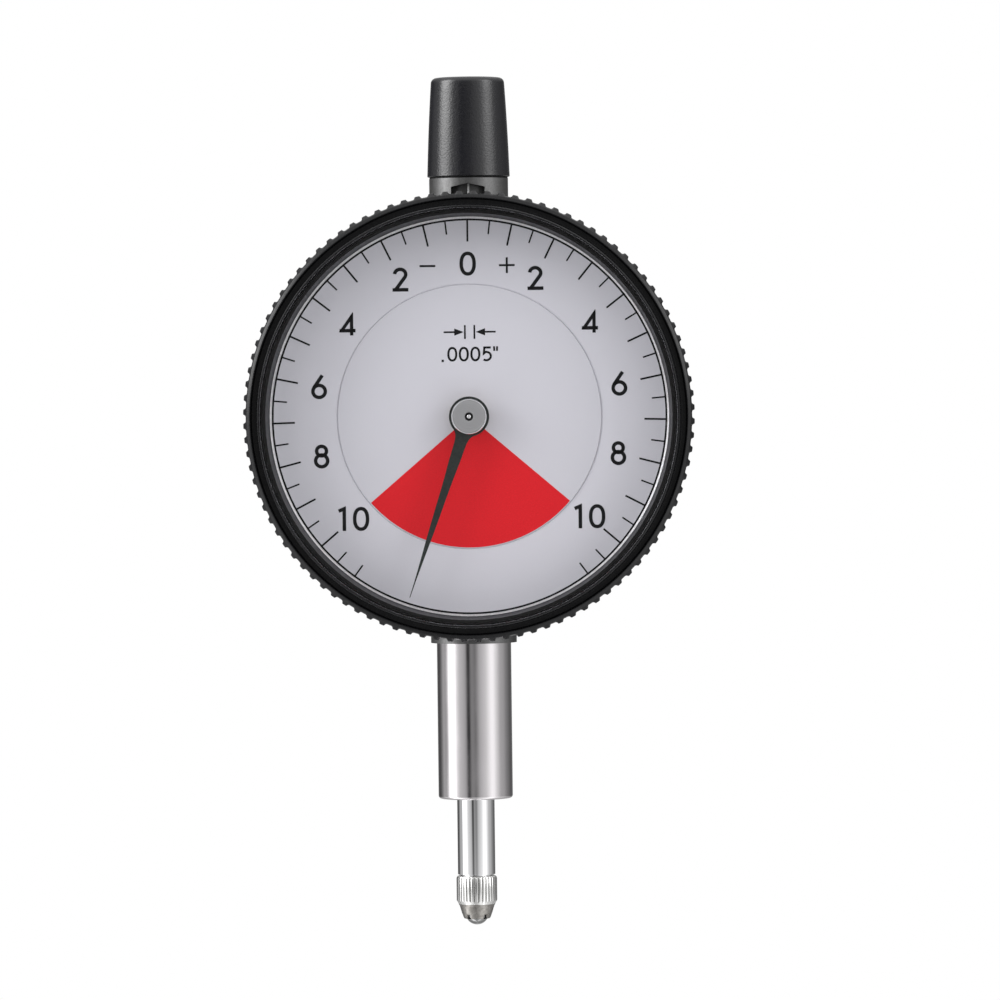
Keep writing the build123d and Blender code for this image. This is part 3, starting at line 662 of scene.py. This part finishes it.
def division_arrows(bm):
    """Two bars with an arrow to each, for one division."""
    row, middle, line = 10.7, 0.15, 0.22
    half_bar, half_head = 0.88, 0.46
    for side in (-1, 1):
        bar, tip, tail, end = [middle + side * away for away in (0.6, 0.76, 1.95, 3.3)]
        ribbon(bm, [(bar, row + half_bar), (bar, row - half_bar)], line, DIAL_Y - INK, DIAL_Y)
        ribbon(bm, [(end, row), (tail, row)], line, DIAL_Y - INK, DIAL_Y)
        head = [(tip, row), (tail, row + half_head), (tail, row - half_head)]
        slab(bm, head, DIAL_Y - INK, DIAL_Y)


def division_value(bm):
    """What one division stands for."""
    row, tall = 7.9, UNIT[0]
    write(bm, "000", -0.62, row, *UNIT, DIAL_Y, advance=1.46)
    write(bm, "5", 2.3, row, *UNIT, DIAL_Y)
    write(bm, ".", -3.3, row, tall, 0.3, DIAL_Y)
    write(bm, '"', 3.4, row, tall, 0.24, DIAL_Y)


def dial_signs():
    bm = bmesh.new()
    minus_and_plus(bm)
    division_arrows(bm)
    division_value(bm)
    hold(finish_mesh("dial_signs", bm, INK_BLACK), "bezel", "dial_print")


# Pointer

POINTER_REST = -161.2      # degrees from the zero
EYE_R = 2.54


def pointer_outline():
    """The pointer, straight up from its pivot, with flared roots and an eye."""
    tip = SEEN_R - 1.0
    side = [(1.30, 2.14), (1.10, 2.42), (0.95, 2.70), (0.85, 3.0), (0.78, 3.4), (0.745, 4.0), (0.72, 5.0),
            (0.69, 6.0), (0.64, 7.0), (0.58, 8.0), (0.50, 10.0), (0.45, 12.0), (0.39, 14.0), (0.32, 16.0),
            (0.23, 18.0), (0.15, 20.0), (0.08, 22.0), (0.04, tip)]
    root = math.degrees(math.acos(side[0][0] / EYE_R)) - 2
    eye = arc(0, 0, EYE_R, EYE_R, 180 - root, 360 + root, 60)
    return [(-x, z) for x, z in reversed(side)] + eye + side


def pointer_pieces():
    """The pointer at rest, with a small chamfer round its front face."""
    bm = bmesh.new()
    turn = math.radians(POINTER_REST)
    outline = [(x * math.cos(turn) + z * math.sin(turn), z * math.cos(turn) - x * math.sin(turn))
               for x, z in pointer_outline()]
    slab(bm, outline, POINTER[0].y, POINTER[1].y)
    edges = [e for e in bm.edges if all(abs(v.co.y - POINTER[0].y) < 1e-6 for v in e.verts)]
    bmesh.ops.bevel(bm, geom=edges, offset=0.035, segments=2, affect="EDGES", clamp_overlap=True)
    hold(finish_mesh("pointer_hand", bm, PAINT), "pointer", "pointer_black", "pointer")


def hub_pieces():
    """A turned disc with a bright rolled rim, and the arbor's end in a recess lined with a near-black ring
    of painted shade.
    """
    rear, front = DISC[1].y, DISC[0].y
    radius, recess_r, arbor_r = span_radius(DISC), 0.50, 0.26
    bottom = front + 0.22
    disc = rounded([
        (0, rear), (radius, rear), (radius, front + 0.06, 0.04), (recess_r + 0.08, front + 0.02, 0.05),
        (recess_r, bottom), (0, bottom)], 4)
    hold(lathe("hub_cap", disc, TURNED, steps=96), "pointer", "turned_disc", "hub_disc")
    rim = arc(radius + 0.09, front + 0.12, 0.10, 0.10, 0, 330, 11)
    hold(lathe("hub_rim", rim, POLISHED, steps=96), "pointer", "turned_disc")
    # A near-black rubber ring in the recess round the arbor's end: painted shade.
    shade = [(arbor_r, bottom + 0.01), (recess_r, bottom + 0.01), (recess_r, front + 0.10),
             (arbor_r, front + 0.10)]
    hold(lathe("hub_painted_shade_ring", shade, RUBBER, steps=64), "pointer", "turned_disc")
    end = rounded([(0, bottom), (arbor_r, bottom), (arbor_r, front + 0.06, 0.12), (0, front, 0.5)], 6)
    hold(lathe("arbor_end", end, POLISHED, steps=48), "pointer", "turned_disc")


# Stem, spindle and contact point

STEM_SHOULDER = 20.0       # height over the stem's lower end
ROD_R = 1.5
ROD_START = 18.96          # height where the spindle narrows to its rod
MEASURED = 0.63            # the spindle's travels, measured and free
COILS = 13
WIRE_R = 0.15
FLUTES = 32
FLUTE_DEPTH = 0.24
CROWN = 0.03               # how much a land rounds off towards its flutes
LAND = 0.37                # half a land's width, as a share of the pitch
POINT_R = 2.6
KNURL_LENGTH = 3.2
NOTCHES = (-42, 38)        # degrees from the front
NOTCH_TOP = 1.85           # below the knurl's end
NOTCH_DEPTH = 0.4
NOTCH_HALF = 0.2           # radians


def stem_pieces():
    """The clamping stem, with a thinner neck that goes into the case."""
    low, top, r = STEM[0].z, STEM[1].z, span_radius(STEM)
    shoulder, neck = low + STEM_SHOULDER, r - 0.4
    bore = span_radius(span("lower_bush"))
    outline = rounded([
        (bore, low, 0.1), (r, low, 0.4), (r, shoulder), (neck, shoulder), (neck, top), (bore, top)], 6)
    tube = lathe("stem_tube", outline, STEEL, axis="z", steps=160)
    hold(tube, "case", "ground_steel", "stem")


def spindle_pieces():
    """The spindle, with a short neck over the contact point and a thinner rod at the top."""
    low, top, r = SPINDLE[0].z, SPINDLE[1].z, span_radius(SPINDLE)
    neck, neck_top = r - 0.35, low + 0.14
    outline = rounded([
        (0, low), (neck, low), (neck, neck_top), (r, neck_top, 0.04), (r, ROD_START, 0.1),
        (ROD_R, ROD_START + 0.4), (ROD_R, top, 0.3), (0, top)], 4)
    rod = lathe("spindle_rod", outline, POLISHED, axis="z", steps=128)
    hold(rod, "spindle", "polished_steel", "spindle")


def spring_piece():
    """The spindle's spring: its foot stays on the collar, and it moves with the spindle as a rigid coil.

    It ends short of the upper bush by the measured travel."""
    low, high = span("spindle_spring")
    wire, facets = WIRE_R, 24
    radius = span_radius((low, high)) - wire
    foot, length = low.z + wire, high.z - low.z - 2 * wire - MEASURED
    section = arc(0, 0, wire, wire, 0, 315, 7)
    bm = bmesh.new()
    rings = []
    for k in range(COILS * facets + 1):
        turn = 2 * math.pi * k / facets
        x, y, z = math.cos(turn), math.sin(turn), foot + length * k / (COILS * facets)
        spots = [((radius + out) * x, (radius + out) * y, z + up) for out, up in section]
        rings.append([bm.verts.new(spot) for spot in spots])
    for one, two in zip(rings, rings[1:]):
        for k in range(len(section)):
            bm.faces.new((one[k], one[k - 1], two[k - 1], two[k]))
    bm.faces.new(rings[0])
    bm.faces.new(rings[-1][::-1])
    spring = finish_mesh("spindle_coil", bm, WIRE_STEEL)
    hold(spring, "spindle", "spring_steel", "spindle_spring")
    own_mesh(spring)


def contact_pieces():
    """The contact point and its ball."""
    contact_point_piece()
    radius = span_radius(BALL)
    middle = BALL[0].z + radius
    half = arc(0, middle, radius, radius, -84, 84, 28)
    outline = [(0, middle - radius)] + half + [(0, middle + radius)]
    ball = lathe("contact_tip", outline, CARBIDE, axis="z", steps=72)
    hold(ball, "spindle", "carbide", "contact_ball")


def contact_point_piece():
    """The knurled contact point: flutes that run out on a cone, with a notch on each side over the ball;
    the notch floors get a near-black finish as painted shade.
    """
    high = SPINDLE[0].z
    knurl_end = high - KNURL_LENGTH
    cone = [(radius, knurl_end - drop) for radius, drop in (
        (POINT_R, 0), (2.42, 0.32), (2.22, 0.72), (2.10, 1.09), (1.95, 1.6), (1.76, 2.12), (1.66, 2.32))]
    foot_r, foot = 1.5, knurl_end - 2.36

    def flute(angle, radius, height):
        away = 0.5 - abs((angle * FLUTES / (2 * math.pi)) % 1.0 - 0.5)
        crown = CROWN * min(1.0, away / LAND) ** 2
        depth = crown + (FLUTE_DEPTH - crown) * max(0.0, (away - LAND) / (0.5 - LAND))
        cut = min(radius, POINT_R - depth) if radius > 1.0 else radius
        if height >= knurl_end - NOTCH_TOP or radius <= foot_r:
            return cut
        beside = min(abs(angle - math.pi - math.radians(side)) for side in NOTCHES)
        return cut - NOTCH_DEPTH * max(0.0, 1 - beside / NOTCH_HALF)

    fine = []
    for (r0, z0), (r1, z1) in zip(cone, cone[1:]):
        fine += [(r0 + (r1 - r0) * k / 6, z0 + (z1 - z0) * k / 6) for k in range(6)]
    shoulder = [(POINT_R - inset, high - drop) for inset, drop in (
        (0.35, 0), (0.28, 0.03), (0.1, 0.14), (0, 0.36))]
    outline = [(0, high)] + shoulder + fine + [cone[-1], (foot_r, foot), (0, foot)]
    piece = lathe("contact_point", outline, KNURLED, axis="z", steps=FLUTES * 16, shape=flute, sharp=35)
    piece.data.materials.append(CONE)
    piece.data.materials.append(RUBBER)
    for face in piece.data.polygons:
        spot = face.center / MM
        reach = math.hypot(spot.x, spot.y)
        if spot.z < knurl_end and reach < POINT_R - FLUTE_DEPTH:
            face.material_index = 1
        # The notch floors take the near-black rubber finish: painted shade.
        if foot + 0.02 < spot.z < knurl_end - NOTCH_TOP and reach < cone[-1][0] - 0.05:
            face.material_index = 2
    hold(piece, "spindle", "polished_steel", "contact_body")


# Top sleeve's inside and the cap

TUBE_R = (3.25, 3.75)      # the split tube's inside and outside
SLIT_HALF = 0.12
RIB_R = 0.13
SLEEVE_WALL = 0.95
CAP_BASE_R = 5.28
CAP_TOP_R = 4.7
CAP_CORNER = 0.7
CAP_BULGE = 0.06
CAP_ROOF = 1.2
# height of the near-black ring under the cap, which is painted shadow
SHADOW_RING_HEIGHT = 0.24


def slit_tube_piece():
    """The dark split tube behind the sleeve's window, with a narrow bright rib before its slit."""
    low, high = SLEEVE[0].z + 0.1, CAP[0].z
    inner, outer = TUBE_R
    gap, steps = SLIT_HALF / outer, 64
    bm = bmesh.new()
    rows = []
    for k in range(steps + 1):
        angle = gap + (2 * math.pi - 2 * gap) * k / steps
        x, y = math.sin(angle), -math.cos(angle)
        corners = ((inner, low), (outer, low), (outer, high), (inner, high))
        rows.append([bm.verts.new((radius * x, radius * y, z)) for radius, z in corners])
    for a, b in zip(rows, rows[1:]):
        for i in range(4):
            bm.faces.new((a[i], a[(i + 1) % 4], b[(i + 1) % 4], b[i]))
    bm.faces.new(rows[0])
    bm.faces.new(rows[-1][::-1])
    hold(finish_mesh("slit_tube", bm, DARK_ALLOY), "case", "case_satin")
    bar = [(0, low), (RIB_R, low), (RIB_R, high - 0.1), (0, high - 0.1)]
    rib = lathe("slit_rib", bar, BARE_ALLOY, axis="z", centre=(0.05, -outer), steps=16)
    hold(rib, "case", "case_satin")


def cap_piece():
    """The tapering dust cap with a slight bulge, and a near-black ring under it that is painted shadow of
    the gap between cap and sleeve.
    """
    low, top, bore = CAP[0].z, CAP[1].z, span_radius(SLEEVE) - SLEEVE_WALL
    # The near-black rubber ring under the cap's edge is painted shadow of the gap between the cap and the
    # sleeve.
    shadow_ring_r, shadow_ring_top, edge = CAP_BASE_R - 0.27, low + SHADOW_RING_HEIGHT, low + 0.22
    seat = [(bore, low), (shadow_ring_r, low), (shadow_ring_r, shadow_ring_top), (bore, shadow_ring_top)]
    hold(lathe("cap_shadow_ring", seat, RUBBER, axis="z", steps=96), "case", "black_cap")
    side = []
    for k in range(1, 13):
        t = k / 12
        bulge = CAP_BULGE * 4 * t * (1 - t)
        radius = CAP_BASE_R + (CAP_TOP_R - CAP_BASE_R) * t + bulge
        side.append((radius, low + (top - CAP_CORNER - low) * t))
    corner = arc(CAP_TOP_R - CAP_CORNER, top - CAP_CORNER, CAP_CORNER, CAP_CORNER, 15, 90, 5)
    outline = [(bore, edge), (CAP_BASE_R - 0.08, edge), (CAP_BASE_R, edge + 0.08)] + side + corner
    outline += [(0, top), (0, top - CAP_ROOF), (bore, top - CAP_ROOF)]
    cap = lathe("dust_cap_visual", outline, BLACK_CAP, axis="z", steps=128)
    hold(cap, "case", "black_cap", "dust_cap")


# CAD nodes that stay, with their finishes

KEPT = {
    "case_shell": ALLOY, "top_sleeve": ALLOY, "back_cover": ALLOY, "cover_gasket": RUBBER,
    "back_screws": SCREW_STEEL, "bezel_retainer": WIRE_STEEL, "lower_bush": BRASS,
    "middle_bush": BRASS, "upper_bush": BRASS, "bridge_plate": BRASS, "bridge_pillars": BRASS,
    "bridge_screws": SCREW_STEEL, "front_centre_bush": BRASS, "rear_centre_bush": BRASS,
    "hairspring_stud": BRASS, "guide_block": BRASS, "carriage_guide_rod": STEEL,
    "rack_carriage": STEEL, "spindle_collar": SCREW_STEEL, "guide_pin": STEEL,
    "sector_gear": BRASS, "sector_arbor": STEEL, "centre_pinion": STEEL, "takeup_wheel": BRASS,
    "takeup_arbor": STEEL, "hairspring": WIRE_STEEL, "pointer_hub": BRASS,
}


def dress_kept_nodes():
    """Gives each CAD node that stays its finish."""
    for name, material in KEPT.items():
        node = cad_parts[name]
        if not node.material_slots:
            node.data.materials.append(material)
        for slot in node.material_slots:
            slot.link = "OBJECT"
            slot.material = material


# Studio. Directions are in degrees round the object: 0 is before it, and 90 is on its right.

PEAK = 8.0                 # the brightest light, and the unit of the ramps
ROOM = [                   # the room's level in each direction
    (-180, 0.5), (-160, 0.16), (-146, 0.08), (-134, 0.12), (-124, 0.27), (-113, 0.58), (-102, 0.5),
    (-96, 0.62), (-91, 1.1), (-85, 2.4), (-66, 2.4), (-57, 1.25), (-48, 0.84), (-34, 0.66), (-27, 0.52),
    (-21, 0.07), (-15, 0.05), (-10, 0.34), (-3, 0.32), (3, 0.24), (9, 0.38), (15, 0.62), (36, 0.96),
    (53, 1.6), (62, 1.55), (70, 1.15), (86, 0.62), (103, 0.52), (114, 0.34), (142, 0.13), (165, 0.2),
    (180, 0.5)]
SOFT_LIGHTS = [            # one tall light on each side
    (-180, 0), (-90, 0), (-84, 7.5), (-60, 7.5), (-50, 0), (48, 0), (56, 3.4), (74, 3.4), (84, 0),
    (180, 0)]
FILL = 0.4                 # what comes from above and from below besides
CEILING = 0.2              # what is left straight above


class Sky(Graph):
    """The world's node tree."""

    def curve(self, source, stops):
        """A grey level against a source from 0 to 1, for stops in degrees from -180 to 180."""
        ramp = self.node("ShaderNodeValToRGB")
        ramp.color_ramp.interpolation = "LINEAR"
        elements = ramp.color_ramp.elements
        elements.remove(elements[-1])
        for k, (angle, level) in enumerate(stops):
            spot = (angle + 180) / 360
            stop = elements[0] if k == 0 else elements.new(spot)
            stop.position = spot
            stop.color = (*[level / PEAK] * 3, 1)
        self.link(source, ramp.inputs["Fac"])
        return ramp.outputs["Color"]

    def step(self, source, low, high, falling=False):
        """A smooth step between two values of the source, from 0 to 1 or falling from 1 to 0."""
        ranged = self.node("ShaderNodeMapRange", interpolation_type="SMOOTHSTEP")
        start, end = (1.0, 0.0) if falling else (0.0, 1.0)
        for name, value in (("From Min", low), ("From Max", high), ("To Min", start), ("To Max", end)):
            ranged.inputs[name].default_value = value
        self.link(source, ranged.inputs["Value"])
        return ranged.outputs["Result"]

    def maths(self, operation, one, two):
        made = self.node("ShaderNodeMath", operation=operation)
        for socket, value in zip(made.inputs, (one, two)):
            if isinstance(value, (int, float)):
                socket.default_value = value
            else:
                self.link(value, socket)
        return made.outputs["Value"]

    def background(self):
        return self.node("ShaderNodeBackground")


def room_strength(sky):
    """The light from each direction: walls, soft lights, a fill above and below, and a dim ceiling."""
    parts = sky.node("ShaderNodeSeparateXYZ")
    sky.link(sky.node("ShaderNodeTexCoord").outputs["Generated"], parts.inputs["Vector"])
    right, up = parts.outputs["X"], parts.outputs["Z"]
    angle = sky.maths("ARCTAN2", right, sky.maths("MULTIPLY", parts.outputs["Y"], -1.0))
    around = sky.maths("ADD", sky.maths("DIVIDE", angle, 2 * math.pi), 0.5)
    level, light = sky.curve(around, ROOM), sky.curve(around, SOFT_LIGHTS)
    window = sky.maths("MULTIPLY", sky.step(up, 0.0, 0.2), sky.step(up, 0.5, 0.8, falling=True))
    above, below = sky.step(up, 0.14, 0.4), sky.step(up, -0.4, -0.14, falling=True)
    fill = sky.maths("MULTIPLY", sky.maths("ADD", above, below), FILL / PEAK)
    walls = sky.maths("ADD", sky.maths("ADD", level, fill), sky.maths("MULTIPLY", light, window))
    fade = sky.step(up, 0.45, 0.85)
    seen = sky.maths("MULTIPLY", walls, sky.maths("SUBTRACT", 1.0, fade))
    total = sky.maths("ADD", seen, sky.maths("MULTIPLY", fade, CEILING))
    return sky.maths("MULTIPLY", total, PEAK)


def world_light():
    """A soft room that lights the object, behind a plain white backdrop for the camera."""
    world = bpy.data.worlds.new("studio")
    bpy.context.scene.world = world
    world.use_nodes = True
    world.node_tree.nodes.clear()
    sky = Sky(world.node_tree)
    room, backdrop = sky.background(), sky.background()
    sky.link(room_strength(sky), room.inputs["Strength"])
    backdrop.inputs["Color"].default_value = (1, 1, 1, 1)
    choose = sky.node("ShaderNodeMixShader")
    sky.link(sky.node("ShaderNodeLightPath").outputs["Is Camera Ray"], choose.inputs["Fac"])
    sky.link(room.outputs["Background"], choose.inputs[1])
    sky.link(backdrop.outputs["Background"], choose.inputs[2])
    sky.link(choose.outputs["Shader"], sky.node("ShaderNodeOutputWorld").inputs["Surface"])


FLOOR_R = 400
FLOOR_DROP = 130


def floor():
    """A pale disc well below the contact point; it fades out at its edge, and isn't seen from below."""
    bm = bmesh.new()
    bmesh.ops.create_circle(bm, cap_ends=True, segments=96, radius=FLOOR_R)
    for vertex in bm.verts:
        vertex.co.z = BALL[0].z - FLOOR_DROP
    f = Finish("pale_floor", (0.86, 0.86, 0.86), roughness=0.8)
    f.tint(f.grain(12), (0.84, 0.84, 0.84), (0.88, 0.88, 0.88))
    away = f.node("ShaderNodeVectorMath", operation="LENGTH")
    f.link(f.place, away.inputs[0])
    edge = f.spread(away.outputs["Value"], 0.0, 1.0, 0.3 * FLOOR_R * MM, 0.95 * FLOOR_R * MM)
    geometry = f.node("ShaderNodeNewGeometry")
    gone = f.node("ShaderNodeMath", operation="MAXIMUM")
    f.link(edge, gone.inputs[0])
    f.link(geometry.outputs["Backfacing"], gone.inputs[1])
    mix = f.node("ShaderNodeMixShader")
    f.link(gone.outputs["Value"], mix.inputs["Fac"])
    f.link(f.shader.outputs["BSDF"], mix.inputs[1])
    f.link(f.node("ShaderNodeBsdfTransparent").outputs["BSDF"], mix.inputs[2])
    f.link(mix.outputs["Shader"], f.out.inputs["Surface"])
    finish_mesh("studio_floor", bm, f.material)


# Camera, in metres

EYE = Vector((0.020, -0.803, CENTRE_Z * MM + 0.004))
AIM = Vector((0.00355, 0, CENTRE_Z * MM - 0.0108))
SENSOR = 36                # millimetres
LENS_SHARE = 6.266         # focal length over the picture's width
ROLL = -0.67               # degrees


def camera():
    data = bpy.data.cameras.new("camera")
    data.sensor_width = SENSOR
    data.lens = SENSOR * LENS_SHARE
    data.clip_start, data.clip_end = 0.05, 20
    roll = Quaternion((0, 0, 1), math.radians(ROLL))
    made = bpy.data.objects.new("camera", data)
    made.location = EYE
    made.rotation_mode = "QUATERNION"
    made.rotation_quaternion = (AIM - EYE).to_track_quat("-Z", "Y") @ roll
    bpy.context.scene.collection.objects.link(made)
    bpy.context.scene.camera = made
    bpy.context.scene.view_settings.view_transform = "Standard"


camera()
world_light()
floor()
bezel_pieces()
inner_ring_pieces()
crystal_pieces()
dial_plate_piece()
tick_marks()
danger_sector()
numerals()
dial_signs()
pointer_pieces()
hub_pieces()
stem_pieces()
spindle_pieces()
spring_piece()
contact_pieces()
slit_tube_piece()
cap_piece()
dress_kept_nodes()
